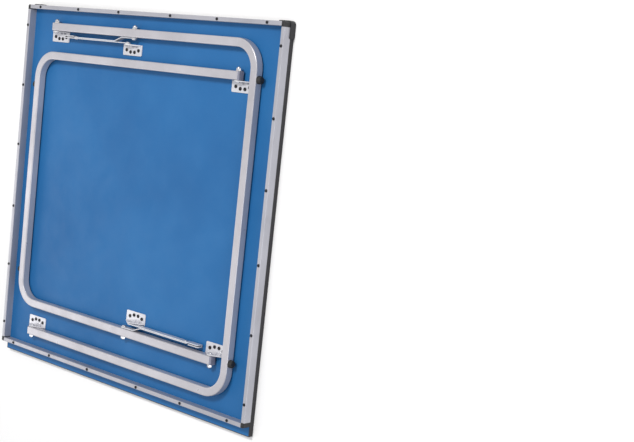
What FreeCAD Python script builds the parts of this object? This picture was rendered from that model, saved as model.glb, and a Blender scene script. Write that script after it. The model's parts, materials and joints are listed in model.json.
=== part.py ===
"""One half of a two-piece folding games table, folded flat and lying on its playing side.

It is modelled standing on its net edge: X runs across the panel (wide leg hinged at -X, narrow leg
at +X), the underside is the plane y = 0 with the playing side above it at +Y, the legs are at -Y,
and +Z runs from the net edge to the end edge. Depth w below the panel is y = -w. Millimetres.
export() lays every piece down: x stays, z becomes y, and depth w becomes height.
"""
import FreeCAD
import Part
import math
import os

# --- panel -------------------------------------------------------------------------------------
PANEL_WIDTH = 914.0        # across the legs' fold, along X
PANEL_LENGTH = 914.0       # net edge to end edge, along Z
PANEL_T = 12.0
BAND_T = 1.5               # plastic edge band
TABLE_HEIGHT = 762.0       # floor to playing surface with the legs open

# --- corner bumpers ----------------------------------------------------------------------------
BUMPER_REACH = 36.0        # along each edge from the corner
BUMPER_T = 3.0             # stands proud of the edge
BUMPER_LIP = 2.5           # laps below the underside, outside the rail
BUMPER_R = 9.0             # outer corner
BUMPER_END_R = 2.4
BUMPER_EDGE_R = 1.2

# --- apron rails -------------------------------------------------------------------------------
RAIL_W = 10.0
RAIL_H = 20.0
RAIL_WALL = 1.0
RAIL_R = 1.5               # long edges away from the panel
NET_SETBACK = 22.0         # net rail stands in from the net edge
BLOCK_LEG = 12.0           # corner block, along the side rail
BLOCK_R = 4.0
SPIGOT_L = 12.0
SPIGOT_FIT = 0.1           # each side
RAIL_SCREWS = 6            # to a rail
RAIL_SCREW_END = 53.0      # first screw from the frame's corner
RAIL_SCREW_PITCH = 155.5

# --- wood screws -------------------------------------------------------------------------------
SCREW_R = 1.75
SCREW_HEAD_R = 3.5
BRACKET_HEAD_R = 4.2       # heads on the brackets
SCREW_HEAD_H = 1.8
SCREW_BITE = 9.0           # depth in the panel
SCREW_FIT = 0.02           # pilot hole over shank
HOLE_FIT = 0.15            # clearance hole over shank
HEAD_ROUND = 0.6           # share of a head's height that is rounded
CROSS_W = 0.9              # drive recess
CROSS_L = 3.8
CROSS_DEPTH = 0.9

# --- legs --------------------------------------------------------------------------------------
TUBE = 20.0
TUBE_WALL = 1.2
TUBE_R = 2.5               # outer corner
BEND_R = 58.0              # bend centreline
SPLAY_DEG = 1.0            # open leg leans outward
LEG_A_SPAN = 808.0         # outside to outside of the arms, wide leg
LEG_B_SPAN = 662.0
LEG_A_BAR_IN = 77.4        # wide leg's folded foot bar, axis from the +X edge
NEST_GAP = 3.6             # that bar to the narrow leg's hinge brackets
END_EXT = 6.0              # tube end past the hinge axis
PLUG_CAP = 3.5
PLUG_L = 16.0
PLUG_FIT = 0.1
FOOT_H = 10.0
FOOT_R = 9.0
FOOT_TIP_R = 8.2
FOOT_IN = 88.0             # foot axis from the arm's outer face
FOOT_EDGE_R = 3.0
FOOT_STEM_R = 3.0          # pressed into the foot bar
FOOT_STEM_L = 6.0
FOOT_BARB_R = 3.6

# --- pivots ------------------------------------------------------------------------------------
PIN_R = 3.0
PIN_RUN = 0.06             # running fit, radial
PIN_SNUG = 0.03            # pin in its own fixed hole, radial
SIDE_GAP = 0.35            # between faces that turn on each other
BOLT_HEAD_R = 5.5
BOLT_HEAD_H = 3.2
WASHER_R = 7.0
WASHER_T = 1.0
NUT_AF = 10.0
NUT_HEX_H = 5.0
NUT_H = 8.8
NUT_DOME_R = 4.6
NUT_GRIP = 6.0             # thread inside the cap nut
RIVET_HEAD_R = 5.0
RIVET_HEAD_H = 1.6

# --- brackets (same pressing for hinges and brace anchors) --------------------------------------
PLATE_T = 2.0
PLATE_W = 26.0             # from the flange's face, across the arm
PLATE_BACK = 28.0          # behind the pivot hole
PLATE_FRONT = 40.0         # in front of it
FLANGE_FRONT = 35.0
FLANGE_TOE = 3.5
EAR_R = 9.0
BRACKET_GAP = 1.0          # arm's inner face to hinge flange
HEEL_R = 1.6               # outside of the bend
SCREW_V = (-15.0, -0.5, 14.0, 28.0)   # screws, along the arm from the pivot hole
SCREW_U = (13.0, 17.5, 17.5, 13.0)    # and across it from the flange's face
RIB_V = (6.8, 21.0)
RIB_W = 3.0
RIB_LEG = 6.0
PLATE_CORNER_R = 3.2

# --- braces ------------------------------------------------------------------------------------
BOARD_ARM = 282.0          # hinge axis to the anchor pivot
LEG_ARM = 303.0            # hinge axis to the leg pivot
LINK_T = 2.0
LINK_W = 14.0
LINK_U = 11.0              # leg link's plane, from the arm's inner face
LINK_GAP = 0.5             # leg link to board link
JOG_START = 40.0           # from the leg pivot
JOG_END = 65.0
LATCH_L = 45.0             # channel end past the elbow
LATCH_ROOT = 9.0           # channel starts past the elbow
LATCH_FIT = 0.4            # channel web to leg link's edge
LATCH_CLEAR = 1.1          # channel web to the brackets' plates
LATCH_LIP = 5.0            # lip past the centreline
LATCH_CORNER_R = 4.0
ANCHOR_GAP = 1.5           # board link to anchor flange

# --- modelling ---------------------------------------------------------------------------------
OVER = 1.0                 # cutters run past the faces they cut
NEAR = 0.01                # points this close to a face are on it
ALONG = 0.5                # an edge's share in a direction, above which it runs that way

# --- worked out --------------------------------------------------------------------------------
HALF_W = PANEL_WIDTH / 2
HINGE_W = PLATE_T + LATCH_CLEAR + LINK_T + LATCH_FIT + LINK_W / 2
AXIS_Y = -HINGE_W
LYING_MID_Z = (PANEL_LENGTH + BUMPER_T) / 2
FRAME_MID_Z = (NET_SETBACK + PANEL_LENGTH) / 2
DROP = TABLE_HEIGHT - PANEL_T - HINGE_W
SPLAY = math.radians(SPLAY_DEG)
LEG_L = DROP / math.cos(SPLAY) - FOOT_H - TUBE / 2
OPEN_ANGLE = math.pi / 2 + SPLAY
BRACE_SPAN = math.sqrt(
    BOARD_ARM**2 + LEG_ARM**2 - 2 * BOARD_ARM * LEG_ARM * math.cos(OPEN_ANGLE)
)
BOARD_LINK_L = (BRACE_SPAN - (LEG_ARM - BOARD_ARM)) / 2
LEG_LINK_L = BRACE_SPAN - BOARD_LINK_L
BOARD_LINK_U = LINK_U + LINK_T + LINK_GAP
ANCHOR_U = BOARD_LINK_U + LINK_T + ANCHOR_GAP
WASHER_HOLE_R = PIN_R + PIN_SNUG

LEG_A_BAR_X = HALF_W - LEG_A_BAR_IN
LEG_A_X = LEG_A_BAR_X - LEG_L
LEG_B_X = LEG_A_BAR_X - TUBE / 2 - NEST_GAP - PLATE_FRONT

X, Y, Z = FreeCAD.Vector(1, 0, 0), FreeCAD.Vector(0, 1, 0), FreeCAD.Vector(0, 0, 1)


# --- shape helpers ------------------------------------------------------------------------------
def vec(x, y, z):
    return FreeCAD.Vector(x, y, z)


def box(x0, x1, y0, y1, z0, z1):
    return Part.makeBox(x1 - x0, y1 - y0, z1 - z0, vec(x0, y0, z0))


def slab(x0, x1, w0, w1, z0, z1):
    """Box between two depths below the underside."""
    return box(x0, x1, -w1, -w0, z0, z1)


def rod(radius, start, end):
    axis = end - start
    return Part.makeCylinder(radius, axis.Length, start, axis)


def prism(points, direction):
    """Closed outline through the points, extruded by a vector."""
    wire = Part.makePolygon(points + points[:1])
    return Part.Face(wire).extrude(direction)


def joined(shapes):
    body = shapes[0].fuse(shapes[1:]) if len(shapes) > 1 else shapes[0]
    return body.removeSplitter()


def export(name, shapes):
    """Lays one node on the playing side and writes it; several solids stay separate in it."""
    shape = shapes[0] if len(shapes) == 1 else Part.makeCompound(shapes)
    shape = shape.rotated(vec(0, 0, 0), X, -90)
    shape = shape.translated(vec(0, -LYING_MID_Z, PANEL_T))
    shape.exportStep(f"parts/{name}.step")


def edges_where(shape, test):
    return [e for e in shape.Edges if all(test(v.Point) for v in e.Vertexes)]


def runs_along(edge, axis):
    return abs(edge.tangentAt(edge.FirstParameter).dot(axis)) > ALONG


# --- screws -------------------------------------------------------------------------------------
def wood_screw(x, z, head_w, length, head_r):
    """Pan-head screw driven towards +Y, its head's seat at depth head_w."""
    seat = vec(x, -head_w, z)
    tip = seat + Y * length
    head = rod(head_r, seat - Y * SCREW_HEAD_H, seat)
    rim = edges_where(head, lambda p: p.y < seat.y - SCREW_HEAD_H / 2)
    head = head.makeFillet(SCREW_HEAD_H * HEAD_ROUND, rim)
    face_y = seat.y - SCREW_HEAD_H
    arm, half = CROSS_L / 2, CROSS_W / 2
    cross = joined([
        box(x - arm, x + arm, face_y, face_y + CROSS_DEPTH, z - half, z + half),
        box(x - half, x + half, face_y, face_y + CROSS_DEPTH, z - arm, z + arm),
    ])
    shank = rod(SCREW_R, seat, tip - Y * SCREW_R)
    point = Part.makeCone(SCREW_R, SCREW_R / 4, SCREW_R, tip - Y * SCREW_R, Y)
    return joined([head, shank, point]).cut(cross)


def pilot(x, z):
    under = vec(x, 0, z)
    return rod(SCREW_R + SCREW_FIT, under, under + Y * (SCREW_BITE + SCREW_R))


def spread(start, end):
    """Screw places along a rail, half of them paced in from each end."""
    paces = [RAIL_SCREW_END + RAIL_SCREW_PITCH * i for i in range(RAIL_SCREWS // 2)]
    return [start + pace for pace in paces] + [end - pace for pace in reversed(paces)]


def rail_screw_places():
    """(x, z) of every rail screw, by rail."""
    mid = RAIL_W / 2
    along_x = spread(-HALF_W, HALF_W)
    along_z = spread(NET_SETBACK, PANEL_LENGTH)
    return {
        "net": [(x, NET_SETBACK + mid) for x in along_x],
        "end": [(x, PANEL_LENGTH - mid) for x in along_x],
        "left": [(-HALF_W + mid, z) for z in along_z],
        "right": [(HALF_W - mid, z) for z in along_z],
    }


def rail_screw_list():
    return [place for places in rail_screw_places().values() for place in places]


# --- arms: every bracket, bolt and link is placed from an arm's inner face -----------------------
def arm_faces():
    """Arm name -> (hinge x, leg direction, inner face z, direction towards the frame's middle)."""
    faces = {}
    for leg, x, way, span in (("a", LEG_A_X, 1, LEG_A_SPAN), ("b", LEG_B_X, -1, LEG_B_SPAN)):
        inner = span / 2 - TUBE
        faces[f"{leg}_low"] = (x, way, FRAME_MID_Z - inner, 1)
        faces[f"{leg}_high"] = (x, way, FRAME_MID_Z + inner, -1)
    return faces


ARMS = arm_faces()
BRACED_ARMS = {"a": "a_high", "b": "b_low"}


def place(shape, arm, mirror_x=False):
    """From local (x from the hinge, y, u along Z from the arm's inner face) to the arm."""
    hinge_x, way, face_z, inward = ARMS[arm]
    if mirror_x and way < 0:
        shape = shape.mirror(vec(0, 0, 0), X)
    if inward < 0:
        shape = shape.mirror(vec(0, 0, 0), Z)
    return shape.translated(vec(hinge_x, 0, face_z))


def anchor_offset(leg):
    """Anchor pivot's x from the hinge axis."""
    return BOARD_ARM * ARMS[BRACED_ARMS[leg]][1]


# --- brackets -----------------------------------------------------------------------------------
def tangent(px, pw, radius):
    """Where the line from (px, pw) touches the ear's circle, on its far side."""
    dx, dw = -px, HINGE_W - pw
    reach = math.hypot(dx, dw)
    turn = math.atan2(dw, dx) - math.asin(radius / reach)
    length = math.sqrt(reach**2 - radius**2)
    return px + length * math.cos(turn), pw + length * math.sin(turn)


def bracket(flange_u):
    """Pressed L bracket with its pivot hole at x = 0; flange_u is its flange's near face."""
    plate = slab(-PLATE_BACK, PLATE_FRONT, 0, PLATE_T, flange_u, flange_u + PLATE_W)
    corners = edges_where(plate, lambda p: p.z > flange_u + PLATE_W / 2)
    plate = plate.makeFillet(PLATE_CORNER_R, [e for e in corners if runs_along(e, Y)])
    front_x, front_w = tangent(FLANGE_FRONT, FLANGE_TOE, EAR_R)
    back_x, back_w = tangent(PLATE_BACK, FLANGE_TOE, EAR_R)
    outline = [
        (-PLATE_BACK, 0), (FLANGE_FRONT, 0), (FLANGE_FRONT, FLANGE_TOE),
        (front_x, front_w), (0, HINGE_W), (-back_x, back_w), (-PLATE_BACK, FLANGE_TOE),
    ]
    points = [vec(x, -w, flange_u) for x, w in outline]
    flange = prism(points, Z * PLATE_T)
    ear = rod(EAR_R, vec(0, AXIS_Y, flange_u), vec(0, AXIS_Y, flange_u + PLATE_T))
    body = joined([plate, flange, ear] + [rib(x, flange_u + PLATE_T) for x in RIB_V])
    heel = edges_where(body, lambda p: abs(p.y) < NEAR and abs(p.z - flange_u) < NEAR)
    body = body.makeFillet(HEEL_R, heel)
    ear_far = flange_u + PLATE_T + OVER
    holes = [rod(PIN_R + PIN_SNUG, vec(0, AXIS_Y, flange_u - OVER), vec(0, AXIS_Y, ear_far))]
    for x, u in zip(SCREW_V, SCREW_U):
        top = vec(x, 0, flange_u + u)
        holes.append(rod(SCREW_R + HOLE_FIT, top, top - Y * PLATE_T))
    return body.cut(holes)


def rib(x, root_u):
    """Gusset pressed across the bracket's inside corner."""
    corner = [(0, 0), (RIB_LEG, 0), (0, RIB_LEG)]
    points = [vec(x - RIB_W / 2, -PLATE_T - w, root_u + u) for w, u in corner]
    return prism(points, X * RIB_W)


def bracket_places():
    """Node name -> (arm, x from the hinge, flange's u)."""
    places = {f"hinge_bracket_{arm}": (arm, 0.0, BRACKET_GAP) for arm in ARMS}
    for leg, arm in BRACED_ARMS.items():
        places[f"brace_anchor_{leg}"] = (arm, anchor_offset(leg), ANCHOR_U)
    return places


def bracket_screw_places():
    """Global (x, z) of every bracket screw."""
    places = []
    for arm, offset, flange_u in bracket_places().values():
        hinge_x, _, face_z, inward = ARMS[arm]
        for x, u in zip(SCREW_V, SCREW_U):
            places.append((hinge_x + offset + x, face_z + inward * (flange_u + u)))
    return places


# --- panel and apron ----------------------------------------------------------------------------
def make_panel():
    core_x = HALF_W - BAND_T
    end_z = PANEL_LENGTH - BAND_T
    core = box(-core_x, core_x, 0, PANEL_T, BAND_T, end_z)
    places = rail_screw_list() + bracket_screw_places()
    export("panel", [core.cut([pilot(x, z) for x, z in places])])
    export("edge_band_net", [box(-HALF_W, HALF_W, 0, PANEL_T, 0, BAND_T)])
    export("edge_band_end", [box(-HALF_W, HALF_W, 0, PANEL_T, end_z, PANEL_LENGTH)])
    export("edge_band_left", [box(-HALF_W, -core_x, 0, PANEL_T, BAND_T, end_z)])
    export("edge_band_right", [box(core_x, HALF_W, 0, PANEL_T, BAND_T, end_z)])


def bumper():
    """Corner bumper at the +X end corner, around the band's outside."""
    out_x, out_z = HALF_W + BUMPER_T, PANEL_LENGTH + BUMPER_T
    from_x, from_z = HALF_W - BUMPER_REACH, PANEL_LENGTH - BUMPER_REACH
    block = box(from_x, out_x, -BUMPER_LIP, PANEL_T, from_z, out_z)
    corner = edges_where(block, lambda p: p.x > out_x - NEAR and p.z > out_z - NEAR)
    block = block.makeFillet(BUMPER_R, corner)
    ends = edges_where(block, lambda p: (p.x > out_x - NEAR) != (p.z > out_z - NEAR))
    ends = [e for e in ends if runs_along(e, Y) and is_end(e, out_x, out_z)]
    block = block.makeFillet(BUMPER_END_R, ends)
    shell = block.cut(box(0, HALF_W, -BUMPER_LIP - OVER, PANEL_T + OVER, 0, PANEL_LENGTH))
    rims = [e for e in shell.Edges if not runs_along(e, Y) and on_outside(e, out_x, out_z)]
    return shell.makeFillet(BUMPER_EDGE_R, rims)


def is_end(edge, out_x, out_z):
    """True on the bumper's two free ends."""
    point = edge.Vertexes[0].Point
    return point.x < out_x - BUMPER_REACH / 2 or point.z < out_z - BUMPER_REACH / 2


def on_outside(edge, out_x, out_z):
    """True where an edge's middle lies on the bumper's outer wall."""
    mid = edge.valueAt((edge.FirstParameter + edge.LastParameter) / 2)
    round_x, round_z = out_x - BUMPER_R, out_z - BUMPER_R
    if mid.x > round_x and mid.z > round_z:
        return math.hypot(mid.x - round_x, mid.z - round_z) > BUMPER_R - NEAR
    return mid.x > out_x - NEAR or mid.z > out_z - NEAR


def make_bumpers():
    right = bumper()
    export("corner_bumper_right", [right])
    export("corner_bumper_left", [right.mirror(vec(0, 0, 0), X)])


def rail(x0, x1, z0, z1, places):
    """Hollow rail, open at its ends, drilled for its screws."""
    body = slab(x0, x1, 0, RAIL_H, z0, z1)
    lies_across = x1 - x0 > z1 - z0
    outer = edges_where(body, lambda p: p.y < -RAIL_H + NEAR)
    body = body.makeFillet(RAIL_R, [e for e in outer if runs_along(e, X if lies_across else Z)])
    wall = RAIL_WALL
    if lies_across:
        bore = slab(x0, x1, wall, RAIL_H - wall, z0 + wall, z1 - wall)
    else:
        bore = slab(x0 + wall, x1 - wall, wall, RAIL_H - wall, z0, z1)
    holes = []
    for x, z in places:
        under = vec(x, 0, z)
        holes.append(rod(SCREW_R + HOLE_FIT, under, under - Y * RAIL_H))
    return body.cut([bore] + holes)


def make_rails():
    places = rail_screw_places()
    low_z, high_z = NET_SETBACK + BLOCK_LEG, PANEL_LENGTH - BLOCK_LEG
    ends = PANEL_LENGTH - RAIL_W
    nets = NET_SETBACK + RAIL_W
    sides = HALF_W - RAIL_W
    export("apron_rail_net", [rail(-sides, sides, NET_SETBACK, nets, places["net"])])
    export("apron_rail_end", [rail(-sides, sides, ends, PANEL_LENGTH, places["end"])])
    export("apron_rail_left", [rail(-HALF_W, -sides, low_z, high_z, places["left"])])
    export("apron_rail_right", [rail(sides, HALF_W, low_z, high_z, places["right"])])


def corner_block():
    """Block that ends the side rail at the -X net corner, with a spigot for each rail."""
    body = slab(0, RAIL_W, 0, RAIL_H, 0, BLOCK_LEG)
    body = body.makeFillet(BLOCK_R, edges_where(body, lambda p: p.x < NEAR and p.z < NEAR))
    body = body.makeFillet(RAIL_R, edges_where(body, lambda p: p.y < -RAIL_H + NEAR))
    near = RAIL_WALL + SPIGOT_FIT
    far, top = RAIL_W - near, RAIL_H - near
    spigot_x = slab(RAIL_W, RAIL_W + SPIGOT_L, near, top, near, far)
    spigot_z = slab(near, far, near, top, BLOCK_LEG, BLOCK_LEG + SPIGOT_L)
    return joined([body, spigot_x, spigot_z])


def make_corner_blocks():
    block = corner_block()
    for end, z, flip_z in (("net", NET_SETBACK, False), ("end", PANEL_LENGTH, True)):
        turned = block.mirror(vec(0, 0, 0), Z) if flip_z else block
        left = turned.translated(vec(-HALF_W, 0, z))
        export(f"rail_corner_{end}_left", [left])
        export(f"rail_corner_{end}_right", [left.mirror(vec(0, 0, 0), X)])


def make_screws():
    for name, places, depth, head_r in (
        ("apron_screws", rail_screw_list(), RAIL_H, SCREW_HEAD_R),
        ("bracket_screws", bracket_screw_places(), PLATE_T, BRACKET_HEAD_R),
    ):
        length = depth + SCREW_BITE
        export(name, [wood_screw(x, z, depth, length, head_r) for x, z in places])


def make_brackets():
    for name, (arm, offset, flange_u) in bracket_places().items():
        export(name, [place(bracket(flange_u).translated(X * offset), arm)])


# --- bolts, nuts and washers ---------------------------------------------------------------------
def at(x, u):
    return vec(x, AXIS_Y, u)


def ring(x, u0, u1, outer, inner):
    return rod(outer, at(x, u0), at(x, u1)).cut(rod(inner, at(x, u0), at(x, u1)))


def button_bolt(x, head_u, tip_u):
    """Button head on the inner side at head_u, shank out to tip_u."""
    head = rod(BOLT_HEAD_R, at(x, head_u), at(x, head_u + BOLT_HEAD_H))
    rim = edges_where(head, lambda p: p.z > head_u + BOLT_HEAD_H / 2)
    head = head.makeFillet(BOLT_HEAD_H * HEAD_ROUND, rim)
    return joined([head, rod(PIN_R, at(x, head_u), at(x, tip_u))])


def cap_nut(x, seat_u):
    """Domed nut whose seat is at seat_u, standing out towards -u."""
    side_r = NUT_AF / 2 / math.cos(math.pi / 6)
    points = []
    for k in range(6):
        turn = math.pi / 3 * k
        points.append(vec(x + side_r * math.cos(turn), AXIS_Y + side_r * math.sin(turn), seat_u))
    hexagon = prism(points, Z * -NUT_HEX_H)
    dome_h = NUT_H - NUT_HEX_H
    ball_r = (NUT_DOME_R**2 + dome_h**2) / (2 * dome_h)
    ball = Part.makeSphere(ball_r, at(x, seat_u - NUT_H + ball_r))
    dome = ball.common(rod(NUT_DOME_R, at(x, seat_u - NUT_H - OVER), at(x, seat_u - NUT_HEX_H)))
    bore = rod(PIN_R + PIN_SNUG, at(x, seat_u), at(x, seat_u - NUT_GRIP))
    return joined([hexagon, dome]).cut(bore)


def make_hinge_pivots():
    flange_far = BRACKET_GAP + PLATE_T
    outer_u = -TUBE - SIDE_GAP
    seat_u = outer_u - WASHER_T
    nuts, washers = [], []
    for arm in ARMS:
        bolt = button_bolt(0, flange_far, seat_u - NUT_GRIP)
        export(f"hinge_bolt_{arm}", [place(bolt, arm)])
        nuts.append(place(cap_nut(0, seat_u), arm))
        spacer = ring(0, SIDE_GAP, BRACKET_GAP, WASHER_R, WASHER_HOLE_R)
        washers.append(place(spacer, arm))
        washers.append(place(ring(0, seat_u, outer_u, WASHER_R, WASHER_HOLE_R), arm))
    export("hinge_cap_nuts", nuts)
    export("hinge_washers", washers)


def make_anchor_pivots():
    """Rivet through each anchor's flange that the board link turns on."""
    link_face = BOARD_LINK_U
    tail = ANCHOR_U + PLATE_T
    washers = []
    for leg, arm in BRACED_ARMS.items():
        head_u = link_face - SIDE_GAP
        rivet = joined([
            rod(RIVET_HEAD_R, at(0, head_u - RIVET_HEAD_H), at(0, head_u)),
            rod(PIN_R, at(0, head_u), at(0, tail)),
            rod(RIVET_HEAD_R, at(0, tail), at(0, tail + RIVET_HEAD_H)),
        ])
        washer = ring(0, link_face + LINK_T + SIDE_GAP, ANCHOR_U, WASHER_R, WASHER_HOLE_R)
        offset = X * anchor_offset(leg)
        export(f"anchor_rivet_{leg}", [place(domed(rivet).translated(offset), arm)])
        washers.append(place(washer.translated(offset), arm))
    export("anchor_washers", washers)


def domed(rivet):
    """Rounds the outer rim of a rivet's flat heads."""
    zs = [v.Point.z for v in rivet.Vertexes]
    ends = (min(zs), max(zs))
    rims = [e for e in rivet.Edges if e.isClosed() and e.Vertexes[0].Point.z in ends]
    return rivet.makeFillet(RIVET_HEAD_H * HEAD_ROUND, rims)


# --- legs ---------------------------------------------------------------------------------------
def square(side, radius):
    """Rounded square wire in the YZ plane, centred on the origin."""
    half = side / 2
    block = box(0, side, -half, half, -half, half)
    block = block.makeFillet(radius, [e for e in block.Edges if runs_along(e, X)])
    return min(block.Faces, key=lambda face: face.CenterOfMass.x).OuterWire


def leg_path(half_span):
    """Centreline of a leg opening towards +X, hinge axis at x = 0, middle at z = 0."""
    x0, x1, x2 = -END_EXT, LEG_L - BEND_R, LEG_L
    z1, z2 = half_span - BEND_R, half_span
    lean = BEND_R * math.sqrt(0.5)
    arc_low = Part.Arc(vec(x1, 0, -z2), vec(x1 + lean, 0, -z1 - lean), vec(x2, 0, -z1))
    arc_high = Part.Arc(vec(x2, 0, z1), vec(x1 + lean, 0, z1 + lean), vec(x1, 0, z2))
    return Part.Wire([
        Part.makeLine(vec(x0, 0, -z2), vec(x1, 0, -z2)), arc_low.toShape(),
        Part.makeLine(vec(x2, 0, -z1), vec(x2, 0, z1)), arc_high.toShape(),
        Part.makeLine(vec(x1, 0, z2), vec(x0, 0, z2)),
    ])


def leg_tube(span, braced_z):
    """Bent square tube with its hinge, brace and foot holes; braced_z is +1 or -1."""
    half = span / 2 - TUBE / 2
    path = leg_path(half)
    start = vec(-END_EXT, 0, -half)
    skin = path.makePipeShell([square(TUBE, TUBE_R).translated(start)], True, False)
    bore_side = TUBE - 2 * TUBE_WALL
    core = path.makePipeShell([square(bore_side, TUBE_R - TUBE_WALL).translated(start)], True, False)
    tube = skin.cut(core)
    reach = TUBE / 2 + OVER
    cuts = []
    for z in (-half, half):
        cuts.append(rod(PIN_R + PIN_RUN, vec(0, 0, z - reach), vec(0, 0, z + reach)))
    z = half * braced_z
    cuts.append(rod(PIN_R + PIN_SNUG, vec(LEG_ARM, 0, z - reach), vec(LEG_ARM, 0, z + reach)))
    for z in foot_places(span):
        foot_face = vec(LEG_L + TUBE / 2, 0, z)
        cuts.append(rod(FOOT_STEM_R + PIN_SNUG, foot_face, foot_face - X * FOOT_STEM_L))
    return tube.cut(cuts)


def tube_lengths(tube, span):
    """The one bent tube as its three straight lengths and two bends, meeting at the bends' ends."""
    arm_x, bar_x = LEG_L - BEND_R, LEG_L + TUBE
    bar_z = span / 2 - TUBE / 2 - BEND_R
    zones = [
        (-TUBE, arm_x, -span, 0), (-TUBE, arm_x, 0, span), (arm_x, bar_x, -bar_z, bar_z),
        (arm_x, bar_x, -span, -bar_z), (arm_x, bar_x, bar_z, span),
    ]
    return [tube.common(box(x0, x1, -TUBE, TUBE, z0, z1)) for x0, x1, z0, z1 in zones]


def end_plug(span, side):
    """Plug in a tube end, drilled by the hinge bolt, its cap rounded about the hinge axis."""
    z = (span / 2 - TUBE / 2) * side
    half = TUBE / 2
    swing_r = math.hypot(END_EXT, half)
    cap = box(-END_EXT - PLUG_CAP, -END_EXT, -half, half, z - half, z + half)
    cap = cap.common(rod(swing_r, vec(0, 0, z - half), vec(0, 0, z + half)))
    inner = half - TUBE_WALL - PLUG_FIT
    stem = box(-END_EXT, -END_EXT + PLUG_L, -inner, inner, z - inner, z + inner)
    corner = TUBE_R - TUBE_WALL
    stem = stem.makeFillet(corner, [e for e in stem.Edges if runs_along(e, X)])
    hole = rod(PIN_R + PIN_RUN, vec(0, 0, z - half), vec(0, 0, z + half))
    return joined([cap, stem]).cut(hole)


def foot_places(span):
    return [-(span / 2 - FOOT_IN), span / 2 - FOOT_IN]


def foot(z):
    """Rubber foot pressed into the foot bar, its sole flat on the floor when the leg is open."""
    face_x = LEG_L + TUBE / 2
    blank_h = FOOT_H + OVER
    taper = (FOOT_R - FOOT_TIP_R) / FOOT_H
    body = Part.makeCone(FOOT_R, FOOT_R - taper * blank_h, blank_h, vec(face_x, 0, z), X)
    reach = 4 * FOOT_R
    floor = box(DROP, DROP + blank_h, -reach, reach, z - reach, z + reach)
    floor = floor.rotated(vec(0, 0, 0), Z, SPLAY_DEG)
    body = body.cut(floor)
    sole_rim = [e for e in body.Edges if e.isClosed() and e.CenterOfMass.x > face_x + FOOT_H / 2]
    body = body.makeFillet(FOOT_EDGE_R, sole_rim)
    stem = rod(FOOT_STEM_R, vec(face_x - FOOT_STEM_L, 0, z), vec(face_x, 0, z))
    barb_h = FOOT_STEM_L - TUBE_WALL
    barb = Part.makeCone(FOOT_BARB_R, FOOT_STEM_R, barb_h, vec(face_x - TUBE_WALL, 0, z), X * -1)
    return joined([body, stem, barb])


def make_leg(leg, span):
    arm = BRACED_ARMS[leg]
    hinge_x, way, _, inward = ARMS[arm]

    def put(shape):
        if way < 0:
            shape = shape.mirror(vec(0, 0, 0), X)
        return shape.translated(vec(hinge_x, AXIS_Y, FRAME_MID_Z))

    tube = leg_tube(span, -inward)
    export(f"leg_{leg}_tube", [put(length) for length in tube_lengths(tube, span)])
    for level, side in (("low", -1), ("high", 1)):
        export(f"leg_{leg}_end_plug_{level}", [put(end_plug(span, side))])
    for level, z in zip(("low", "high"), foot_places(span)):
        export(f"leg_{leg}_foot_{level}", [put(foot(z))])
    head_u = BRACKET_GAP + LINK_T + SIDE_GAP
    bolt = button_bolt(LEG_ARM, head_u, -TUBE - WASHER_T - NUT_GRIP)
    export(f"leg_{leg}_brace_bolt", [place(bolt, arm, mirror_x=True)])
    nut = cap_nut(LEG_ARM, -TUBE - WASHER_T)
    export(f"leg_{leg}_brace_nut", [place(nut, arm, mirror_x=True)])
    washers = [
        ring(LEG_ARM, 0, BRACKET_GAP - SIDE_GAP, WASHER_R, WASHER_HOLE_R),
        ring(LEG_ARM, -TUBE - WASHER_T, -TUBE, WASHER_R, WASHER_HOLE_R),
    ]
    export(f"leg_{leg}_brace_washers", [place(w, arm, mirror_x=True) for w in washers])


# --- braces -------------------------------------------------------------------------------------
def bar_outline(x0, x1, u0, u1):
    """Flat bar between two pivots, round-ended, as a solid between u0 and u1."""
    half = LINK_W / 2
    bar = slab(x0, x1, HINGE_W - half, HINGE_W + half, u0, u1)
    return joined([bar, rod(half, at(x0, u0), at(x0, u1)), rod(half, at(x1, u0), at(x1, u1))])


def half_rivet(x, face_u, way):
    """Half of the elbow rivet: flush with the link's meeting face, headed on its other side."""
    far = face_u + way * LINK_T
    head = rod(RIVET_HEAD_R, at(x, far), at(x, far + way * RIVET_HEAD_H))
    tip = far + way * RIVET_HEAD_H
    rim = [e for e in head.Edges if e.isClosed() and abs(e.Vertexes[0].Point.z - tip) < NEAR]
    head = head.makeFillet(RIVET_HEAD_H * HEAD_ROUND, rim)
    return joined([head, rod(PIN_R, at(x, face_u), at(x, far))])


def board_link():
    """Flat bar from the anchor to the elbow, going on past it as the latch channel."""
    elbow = BOARD_ARM - BOARD_LINK_L
    u0, u1 = BOARD_LINK_U, BOARD_LINK_U + LINK_T
    bar = bar_outline(elbow, BOARD_ARM, u0, u1)
    return joined([bar, latch(elbow)]).cut([
        rod(PIN_R + PIN_RUN, at(BOARD_ARM, u0), at(BOARD_ARM, u1)),
        rod(PIN_R + PIN_SNUG, at(elbow, u0), at(elbow, u1)),
    ])


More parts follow.
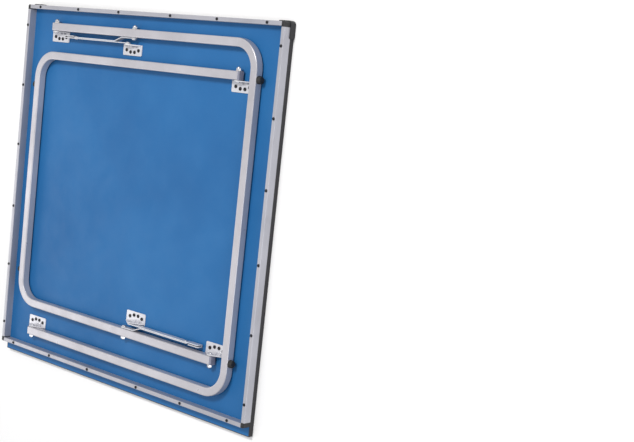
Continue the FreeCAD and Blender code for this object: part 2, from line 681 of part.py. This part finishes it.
def latch(elbow):
    """Channel that the leg link swings into; its web stops the brace as it comes straight."""
    half = LINK_W / 2
    tip, root = elbow - LATCH_L, elbow - LATCH_ROOT
    web_far = HINGE_W - half - LATCH_FIT
    web_near = web_far - LINK_T
    wall_u0, wall_u1 = BOARD_LINK_U, BOARD_LINK_U + LINK_T
    lip_u1 = LINK_U - LINK_GAP
    lip_u0 = lip_u1 - LINK_T
    wall = joined([
        slab(tip, elbow, HINGE_W - half, HINGE_W + half, wall_u0, wall_u1),
        slab(tip, root, web_near, HINGE_W, wall_u0, wall_u1),
    ])
    corner = edges_where(wall, lambda p: p.x < tip + NEAR and p.y < AXIS_Y - half + NEAR)
    wall = wall.makeFillet(LATCH_CORNER_R, corner)
    web = slab(tip, root, web_near, web_far, lip_u0, wall_u1)
    lip = slab(tip, root, web_near, HINGE_W + LATCH_LIP, lip_u0, lip_u1)
    free = edges_where(lip, lambda p: p.y < AXIS_Y)
    lip = lip.makeFillet(LATCH_CORNER_R, [e for e in free if runs_along(e, Z)])
    return joined([wall, web, lip])


def leg_link():
    """Flat bar that jogs clear of the hinge bracket between the leg pivot and the elbow."""
    elbow = LEG_ARM - LEG_LINK_L
    near, far = BRACKET_GAP, LINK_U
    jog0, jog1 = LEG_ARM - JOG_START, LEG_ARM - JOG_END
    side = [(LEG_ARM + LINK_W, near), (jog0, near), (jog1, far), (elbow - LINK_W, far)]
    outline = side + [(x, u + LINK_T) for x, u in reversed(side)]
    top = AXIS_Y + LINK_W / 2
    strip = prism([vec(x, top, u) for x, u in outline], Y * -LINK_W)
    link = strip.common(bar_outline(elbow, LEG_ARM, 0, far + LINK_T))
    return link.cut([
        rod(PIN_R + PIN_RUN, at(LEG_ARM, near), at(LEG_ARM, near + LINK_T)),
        rod(PIN_R + PIN_SNUG, at(elbow, far), at(elbow, far + LINK_T)),
    ])


def make_brace(leg):
    arm = BRACED_ARMS[leg]
    elbow = BOARD_ARM - BOARD_LINK_L
    export(f"brace_{leg}_board_link", [place(board_link(), arm, mirror_x=True)])
    export(f"brace_{leg}_leg_link", [place(leg_link(), arm, mirror_x=True)])
    outer = half_rivet(elbow, LINK_U + LINK_T, -1)
    inner = half_rivet(elbow, BOARD_LINK_U, 1)
    export(f"brace_{leg}_rivet_leg_half", [place(outer, arm, mirror_x=True)])
    export(f"brace_{leg}_rivet_board_half", [place(inner, arm, mirror_x=True)])


os.makedirs("parts", exist_ok=True)
make_panel()
make_bumpers()
make_rails()
make_corner_blocks()
make_screws()
make_brackets()
make_hinge_pivots()
make_anchor_pivots()
make_leg("a", LEG_A_SPAN)
make_leg("b", LEG_B_SPAN)
make_brace("a")
make_brace("b")
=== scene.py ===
"""Looks for one half of a folding games table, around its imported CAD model.

The half lies face down, folded. Every CAD node keeps its shape. This script gives each one a
procedural material, paints the lines of the playing side in the board's, and sets the floor, the
lights and the camera. Lengths are in metres, and a noise's scale is in features per metre.
"""
import json

import bpy
from mathutils import Matrix, Vector


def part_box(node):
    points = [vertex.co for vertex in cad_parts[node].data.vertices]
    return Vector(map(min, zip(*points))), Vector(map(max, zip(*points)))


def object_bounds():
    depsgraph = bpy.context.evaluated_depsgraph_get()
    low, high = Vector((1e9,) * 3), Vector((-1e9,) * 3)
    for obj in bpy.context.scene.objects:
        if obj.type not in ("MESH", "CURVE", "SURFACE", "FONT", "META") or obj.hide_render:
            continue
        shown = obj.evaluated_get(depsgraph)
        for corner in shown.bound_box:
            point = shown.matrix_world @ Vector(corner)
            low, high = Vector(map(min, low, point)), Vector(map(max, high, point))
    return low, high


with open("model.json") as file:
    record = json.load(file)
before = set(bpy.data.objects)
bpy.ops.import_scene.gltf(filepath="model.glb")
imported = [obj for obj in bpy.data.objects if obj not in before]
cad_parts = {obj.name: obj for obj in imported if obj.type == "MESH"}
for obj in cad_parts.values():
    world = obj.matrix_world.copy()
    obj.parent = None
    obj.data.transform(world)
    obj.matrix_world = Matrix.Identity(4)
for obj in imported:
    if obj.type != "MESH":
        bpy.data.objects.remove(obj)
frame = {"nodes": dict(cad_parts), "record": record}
cad_low, cad_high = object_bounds()

# --- sizes taken from the frame ------------------------------------------------------------------
PANEL_LOW, PANEL_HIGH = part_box("panel")

# --- marking lines on the playing side -----------------------------------------------------------
EDGE_LINE = 0.020
CENTRE_LINE = 0.003

# --- camera --------------------------------------------------------------------------------------
CAMERA_AT = Vector((2.28332, 0.33308, 1.98376))
CAMERA_RIGHT = Vector((0.74620, 0.10638, -0.65717))     # towards the right of the picture
CAMERA_BACK = Vector((0.64809, 0.10963, 0.75363))       # from what it looks at, towards it
LENS_MM = 70.694
SENSOR_MM = 36.0


# --- node helpers --------------------------------------------------------------------------------
MIX_COLOUR_INPUTS = (0, 6, 7)   # factor and the two colours of a Mix node set to colour
MIX_COLOUR_OUTPUT = 2
NOISE_LOW = 0.3                 # nearly all of a noise's values lie between these two
NOISE_HIGH = 0.7
FLAT_DOT = 0.97                 # bevelled and plain normals agree at least this much on a flat
SHARP_DOT = 0.80                # and no more than this along a sharp edge


class Nodes:
    """Short ways to add and wire shader nodes in one material."""

    def __init__(self, name):
        self.material = bpy.data.materials.new(name)
        self.material.use_nodes = True
        self.tree = self.material.node_tree
        self.tree.nodes.clear()
        self.shader = self.add("ShaderNodeBsdfPrincipled")
        out = self.add("ShaderNodeOutputMaterial")
        self.link(self.shader.outputs["BSDF"], out.inputs["Surface"])
        self.place = self.add("ShaderNodeTexCoord").outputs["Object"]

    def add(self, kind, **settings):
        node = self.tree.nodes.new(kind)
        for key, value in settings.items():
            setattr(node, key, value)
        return node

    def link(self, source, target):
        self.tree.links.new(source, target)

    def noise(self, scale, detail=4.0, roughness=0.55, stretch=None):
        node = self.add("ShaderNodeTexNoise")
        node.inputs["Scale"].default_value = scale
        node.inputs["Detail"].default_value = detail
        node.inputs["Roughness"].default_value = roughness
        self.link(self.stretched(stretch), node.inputs["Vector"])
        return node.outputs["Fac"]

    def stretched(self, stretch):
        if stretch is None:
            return self.place
        node = self.add("ShaderNodeMapping")
        node.inputs["Scale"].default_value = stretch
        self.link(self.place, node.inputs["Vector"])
        return node.outputs["Vector"]

    def ramp(self, source, stops):
        """Colour ramp through (position, colour) stops."""
        node = self.add("ShaderNodeValToRGB")
        ramp = node.color_ramp
        while len(ramp.elements) < len(stops):
            ramp.elements.new(0.5)
        for element, (position, colour) in zip(ramp.elements, stops):
            element.position = position
            element.color = (*colour, 1.0)
        self.link(source, node.inputs["Fac"])
        return node.outputs["Color"]

    def levels(self, source, low, high, out_low, out_high):
        """Maps low..high to out_low..out_high, clamped."""
        node = self.add("ShaderNodeMapRange")
        node.inputs["From Min"].default_value = low
        node.inputs["From Max"].default_value = high
        node.inputs["To Min"].default_value = out_low
        node.inputs["To Max"].default_value = out_high
        self.link(source, node.inputs["Value"])
        return node.outputs["Result"]

    def spots(self, source, start, full, share):
        """0 up to start, rising to share at full and beyond it."""
        return self.levels(source, start, full, 0.0, share)

    def spread(self, noise, out_low, out_high):
        """Spreads a noise over out_low..out_high."""
        return self.levels(noise, NOISE_LOW, NOISE_HIGH, out_low, out_high)

    def maths(self, operation, first, second=None):
        node = self.add("ShaderNodeMath", operation=operation)
        self.feed(node.inputs[0], first)
        if second is not None:
            self.feed(node.inputs[1], second)
        return node.outputs["Value"]

    def axes(self):
        node = self.add("ShaderNodeSeparateXYZ")
        self.link(self.place, node.inputs["Vector"])
        return node.outputs["X"], node.outputs["Y"], node.outputs["Z"]

    def mix(self, factor, first, second):
        node = self.add("ShaderNodeMix", data_type="RGBA")
        factor_in, first_in, second_in = (node.inputs[i] for i in MIX_COLOUR_INPUTS)
        for socket, value in ((factor_in, factor), (first_in, first), (second_in, second)):
            self.feed(socket, value)
        return node.outputs[MIX_COLOUR_OUTPUT]

    def feed(self, socket, value):
        """Sets a number or a colour on a socket, or links another socket to it."""
        if isinstance(value, (int, float)):
            socket.default_value = value
        elif isinstance(value, tuple):
            socket.default_value = (*value, 1.0)
        else:
            self.link(value, socket)

    def bump(self, source, strength, distance, onto=None):
        node = self.add("ShaderNodeBump")
        node.inputs["Strength"].default_value = strength
        node.inputs["Distance"].default_value = distance
        self.link(source, node.inputs["Height"])
        if onto is not None:
            self.link(onto, node.inputs["Normal"])
        return node.outputs["Normal"]

    def edges(self, radius):
        """About 1 along sharp edges and 0 on flats, from the bevelled normal."""
        bevel = self.add("ShaderNodeBevel", samples=4)
        bevel.inputs["Radius"].default_value = radius
        plain = self.add("ShaderNodeNewGeometry").outputs["Normal"]
        dot = self.add("ShaderNodeVectorMath", operation="DOT_PRODUCT")
        self.link(bevel.outputs["Normal"], dot.inputs[0])
        self.link(plain, dot.inputs[1])
        return self.spots(dot.outputs["Value"], FLAT_DOT, SHARP_DOT, 1.0)

    def worn_and_highlit(self, base, radius, share, tone):
        """The base colour with the tone along sharp edges, partly wear and partly a painted
        highlight.
        """
        return self.mix(self.maths("MULTIPLY", self.edges(radius), share), base, tone)

    def set(self, **values):
        """Sets or links shader sockets, named with underscores for spaces."""
        for key, value in values.items():
            self.feed(self.shader.inputs[key.replace("_", " ")], value)
        return self.material


def srgb(red, green, blue):
    """8-bit screen colour to the linear values that shaders take."""
    def linear(value):
        share = value / 255.0
        return share / 12.92 if share <= 0.04045 else ((share + 0.055) / 1.055) ** 2.4
    return (linear(red), linear(green), linear(blue))


def scaled(tone, gain, lift=0.0):
    """The tone made brighter or darker, kept within white."""
    return tuple(min(1.0, gain * c + lift) for c in tone)


# --- materials -----------------------------------------------------------------------------------
MM = 0.001
BLUES = ((0.30, srgb(25, 90, 146)), (0.52, srgb(30, 97, 154)), (0.75, srgb(38, 104, 161)))
FADED_BLUE = srgb(58, 116, 170)
FIBRE_BLUE = srgb(18, 74, 128)
LINE_WHITE = srgb(232, 233, 230)
THIN_WHITE = srgb(170, 188, 208)
DUST = srgb(150, 146, 140)
FLOOR_DUST = srgb(112, 108, 102)
# lighter tones along sharp edges: partly wear, partly a painted highlight
WORN_AND_HIGHLIT_SILVER = srgb(226, 227, 231)
WORN_AND_HIGHLIT_PLATE = srgb(244, 244, 246)
WORN_AND_HIGHLIT_OXIDE = srgb(120, 120, 126)
OXIDES = ((0.3, srgb(18, 18, 22)), (0.75, srgb(44, 43, 48)))
NYLONS = ((0.3, srgb(196, 194, 184)), (0.7, srgb(222, 221, 214)))
RUBBERS = ((0.3, srgb(17, 17, 19)), (0.75, srgb(33, 33, 35)))


def lacquered_board(name):
    """Blue lacquer over fibreboard, with the painted lines on the playing side."""
    n = Nodes(name)
    cloud = n.noise(2.6, 3.0, 0.5)
    drift = n.noise(11.0, 4.0, 0.6)
    fibre = n.noise(420.0, 5.0, 0.65)
    blue = n.ramp(cloud, BLUES)
    blue = n.mix(n.spots(drift, 0.45, 0.75, 0.16), blue, FADED_BLUE)
    blue = n.mix(n.spots(fibre, 0.55, 0.80, 0.14), blue, FIBRE_BLUE)
    x, y, z = n.axes()
    side = n.maths("GREATER_THAN", n.maths("ABSOLUTE", x), PANEL_HIGH.x - EDGE_LINE)
    end = n.maths("GREATER_THAN", y, PANEL_HIGH.y - EDGE_LINE)
    centre = n.maths("LESS_THAN", n.maths("ABSOLUTE", x), CENTRE_LINE / 2)
    line = n.maths("MAXIMUM", n.maths("MAXIMUM", side, end), centre)
    playing = n.maths("LESS_THAN", z, (PANEL_LOW.z + PANEL_HIGH.z) / 2)
    line = n.maths("MULTIPLY", line, playing)
    thin = n.spots(n.noise(160.0, 4.0), 0.62, 0.80, 0.25)
    paint = n.mix(thin, LINE_WHITE, THIN_WHITE)
    colour = n.mix(line, blue, paint)
    peel = n.bump(n.noise(300.0, 2.0, 0.4), 0.10, 0.2 * MM)
    normal = n.bump(n.noise(1500.0, 3.0, 0.6), 0.06, 0.05 * MM, peel)
    rough = n.spread(n.noise(26.0, 5.0, 0.65), 0.42, 0.56)
    return n.set(Base_Color=colour, Roughness=rough, Normal=normal, Specular_IOR_Level=0.25)


def moulded_plastic(name, tone, shine, grain_mm, dust):
    """Moulded plastic: spark-eroded grain, paler edges that are partly rubbed wear and partly a
    painted highlight, and a little dust.
    """
    n = Nodes(name)
    grain = n.noise(1.0 / (grain_mm * MM), 3.0, 0.6)
    patch = n.noise(38.0, 5.0, 0.65)
    base = n.mix(n.spots(patch, 0.35, 0.75, 0.6), tone, scaled(tone, 1.9, 0.012))
    # paler along sharp edges: partly rubbed wear, partly a painted highlight
    base = n.worn_and_highlit(base, 0.8 * MM, 0.45, scaled(tone, 3.2, 0.03))
    colour = n.mix(n.spots(n.noise(90.0, 6.0, 0.7), 0.60, 0.82, dust), base, DUST)
    rough = n.spread(patch, shine - 0.06, shine + 0.08)
    return n.set(Base_Color=colour, Roughness=rough, Normal=n.bump(grain, 0.25, 0.12 * MM))


def silver_paint(name, tone, metal, shine, rubbed):
    """Silver paint on metal: fine flakes, cloudiness, fine rub marks and bright edges, partly worn
    and partly a painted highlight.
    """
    n = Nodes(name)
    cloud = n.noise(7.0, 4.0, 0.6)
    flake = n.noise(1900.0, 2.0, 0.5)
    base = n.ramp(cloud, [(0.28, scaled(tone, 0.86)), (0.5, tone), (0.74, scaled(tone, 1.12))])
    base = n.mix(n.spots(flake, 0.58, 0.74, 0.35), base, scaled(tone, 1.45))
    scratch = n.noise(60.0, 3.0, 0.7, stretch=(0.35, 6.0, 6.0))
    base = n.mix(n.spots(scratch, 0.66, 0.80, rubbed), base, scaled(tone, 0.70))
    # brighter along sharp edges: partly worn paint, partly a painted highlight
    colour = n.worn_and_highlit(base, 0.9 * MM, 0.55, WORN_AND_HIGHLIT_SILVER)
    rough = n.spread(n.noise(45.0, 5.0, 0.65), shine - 0.05, shine + 0.08)
    normal = n.bump(flake, 0.10, 0.04 * MM, n.bump(n.noise(240.0, 2.0, 0.5), 0.06, 0.15 * MM))
    return n.set(Base_Color=colour, Metallic=metal, Roughness=rough, Normal=normal)


def plated_steel(name, tone, shine):
    """Zinc plate: turning marks, faint dull bloom and bright edges, partly worn and partly a
    painted highlight.
    """
    n = Nodes(name)
    bloom = n.noise(120.0, 5.0, 0.7)
    turned = n.noise(700.0, 2.0, 0.5, stretch=(1.0, 0.05, 1.0))
    base = n.ramp(bloom, [(0.30, scaled(tone, 0.78)), (0.70, tone)])
    # brighter along sharp edges: partly wear, partly a painted highlight
    colour = n.worn_and_highlit(base, 0.5 * MM, 0.5, WORN_AND_HIGHLIT_PLATE)
    rough = n.spread(bloom, shine - 0.06, shine + 0.10)
    normal = n.bump(turned, 0.18, 0.06 * MM)
    return n.set(Base_Color=colour, Metallic=0.9, Roughness=rough, Normal=normal)


def oxide_steel(name):
    """Black-oxide screws, grey on the drive and the rims, partly rubbed wear and partly a painted
    highlight.
    """
    n = Nodes(name)
    bloom = n.noise(260.0, 4.0, 0.7)
    # grey along sharp edges and the drive: partly rubbed wear, partly a painted highlight
    colour = n.worn_and_highlit(n.ramp(bloom, OXIDES), 0.4 * MM, 0.7, WORN_AND_HIGHLIT_OXIDE)
    rough = n.spread(bloom, 0.28, 0.46)
    normal = n.bump(bloom, 0.12, 0.05 * MM)
    return n.set(Base_Color=colour, Metallic=0.6, Roughness=rough, Normal=normal)


def nylon(name):
    """Natural nylon washers, slightly translucent."""
    n = Nodes(name)
    cloud = n.noise(180.0, 4.0, 0.6)
    colour = n.ramp(cloud, NYLONS)
    rough = n.spread(cloud, 0.40, 0.55)
    n.set(Subsurface_Weight=0.15, Subsurface_Scale=1.5 * MM)
    return n.set(Base_Color=colour, Roughness=rough, Normal=n.bump(cloud, 0.15, 0.08 * MM))


def rubber(name):
    """Black rubber feet, with patches of floor dust."""
    n = Nodes(name)
    grain = n.noise(900.0, 4.0, 0.65)
    patch = n.noise(110.0, 5.0, 0.7)
    base = n.ramp(grain, RUBBERS)
    colour = n.mix(n.spots(patch, 0.52, 0.80, 0.35), base, FLOOR_DUST)
    rough = n.spread(patch, 0.55, 0.80)
    return n.set(Base_Color=colour, Roughness=rough, Normal=n.bump(grain, 0.3, 0.1 * MM))


MATERIALS = {
    "panel_paint": lacquered_board("panel_paint_look"),
    "edge_band": moulded_plastic("edge_band_look", srgb(17, 16, 22), 0.46, 0.7, 0.05),
    "corner_plastic": moulded_plastic("corner_plastic_look", srgb(17, 16, 20), 0.48, 0.9, 0.06),
    "rail_paint": silver_paint("rail_paint_look", srgb(172, 172, 180), 0.45, 0.34, 0.35),
    "bracket_paint": silver_paint("bracket_paint_look", srgb(206, 206, 212), 0.40, 0.34, 0.25),
    "leg_paint": silver_paint("leg_paint_look", srgb(186, 184, 190), 0.45, 0.32, 0.30),
    "link_paint": silver_paint("link_paint_look", srgb(200, 201, 207), 0.40, 0.34, 0.45),
    "rivet_steel": plated_steel("rivet_steel_look", srgb(205, 206, 210), 0.30),
    "bolt_zinc": plated_steel("bolt_zinc_look", srgb(222, 222, 226), 0.26),
    "black_screw": oxide_steel("black_screw_look"),
    "nylon_washer": nylon("nylon_washer_look"),
    "plug_plastic": moulded_plastic("plug_plastic_look", srgb(120, 120, 134), 0.50, 0.6, 0.10),
    "foot_rubber": rubber("foot_rubber_look"),
}

for row in frame["record"]["subparts"]:
    for slot in frame["nodes"][row["node"]].material_slots:
        slot.material = MATERIALS[row["material_slot"]]


# --- floor ---------------------------------------------------------------------------------------
FLOOR_HALF = 40.0               # fills the background of the photo's view
FLOOR_DROP = 0.3 * MM           # keeps the floor clear of the playing side that lies on it
FLOOR_TONES = ((0.3, srgb(236, 236, 237)), (0.7, srgb(241, 241, 242)))


def make_floor():
    mesh = bpy.data.meshes.new("floor")
    z = cad_low.z - FLOOR_DROP
    corners = [(FLOOR_HALF * x, FLOOR_HALF * y, z) for x, y in ((-1, -1), (1, -1), (1, 1), (-1, 1))]
    mesh.from_pydata(corners, [], [(0, 1, 2, 3)])
    n = Nodes("floor_look")
    colour = n.ramp(n.noise(0.8, 3.0), FLOOR_TONES)
    mesh.materials.append(n.set(Base_Color=colour, Roughness=0.9, Specular_IOR_Level=0.1))
    floor = bpy.data.objects.new("floor", mesh)
    bpy.context.scene.collection.objects.link(floor)


# --- lights --------------------------------------------------------------------------------------
LIGHTS = (                      # name, place, size, watts, colour
    ("key", (0.5, 1.9, 3.1), 0.9, 82.0, (1.0, 0.985, 0.96)),
    ("overhead", (0.0, -0.4, 3.6), 3.0, 10.0, (1.0, 1.0, 1.0)),
    ("fill", (3.2, -0.6, 1.1), 1.6, 24.0, (0.93, 0.965, 1.0)),
    ("back", (-2.8, -0.6, 1.7), 1.8, 12.0, (1.0, 1.0, 1.0)),
)
SKY_COLOUR = (1.0, 1.0, 1.0, 1.0)
SKY_STRENGTH = 0.62


def make_lights():
    target = (cad_low + cad_high) / 2
    for name, place, size, watts, colour in LIGHTS:
        lamp = bpy.data.lights.new(name, "AREA")
        lamp.shape = "DISK"
        lamp.size = size
        lamp.energy = watts
        lamp.color = colour
        light = bpy.data.objects.new(name, lamp)
        light.location = place
        light.rotation_euler = (target - Vector(place)).to_track_quat("-Z", "Y").to_euler()
        bpy.context.scene.collection.objects.link(light)
    world = bpy.data.worlds.new("studio")
    world.use_nodes = True
    sky = world.node_tree.nodes["Background"]
    sky.inputs["Color"].default_value = SKY_COLOUR
    sky.inputs["Strength"].default_value = SKY_STRENGTH
    bpy.context.scene.world = world


def make_camera():
    """Camera that sees the half as if it stood on its net edge, so it is rolled to the floor."""
    lens = bpy.data.cameras.new("camera")
    lens.sensor_width = SENSOR_MM
    lens.lens = LENS_MM
    camera = bpy.data.objects.new("camera", lens)
    up = CAMERA_BACK.cross(CAMERA_RIGHT)
    turn = Matrix((CAMERA_RIGHT, up, CAMERA_BACK)).transposed().to_4x4()
    camera.matrix_world = Matrix.Translation(CAMERA_AT) @ turn
    bpy.context.scene.collection.objects.link(camera)
    bpy.context.scene.camera = camera


make_floor()
make_lights()
make_camera()
bpy.context.scene.view_settings.view_transform = "Standard"
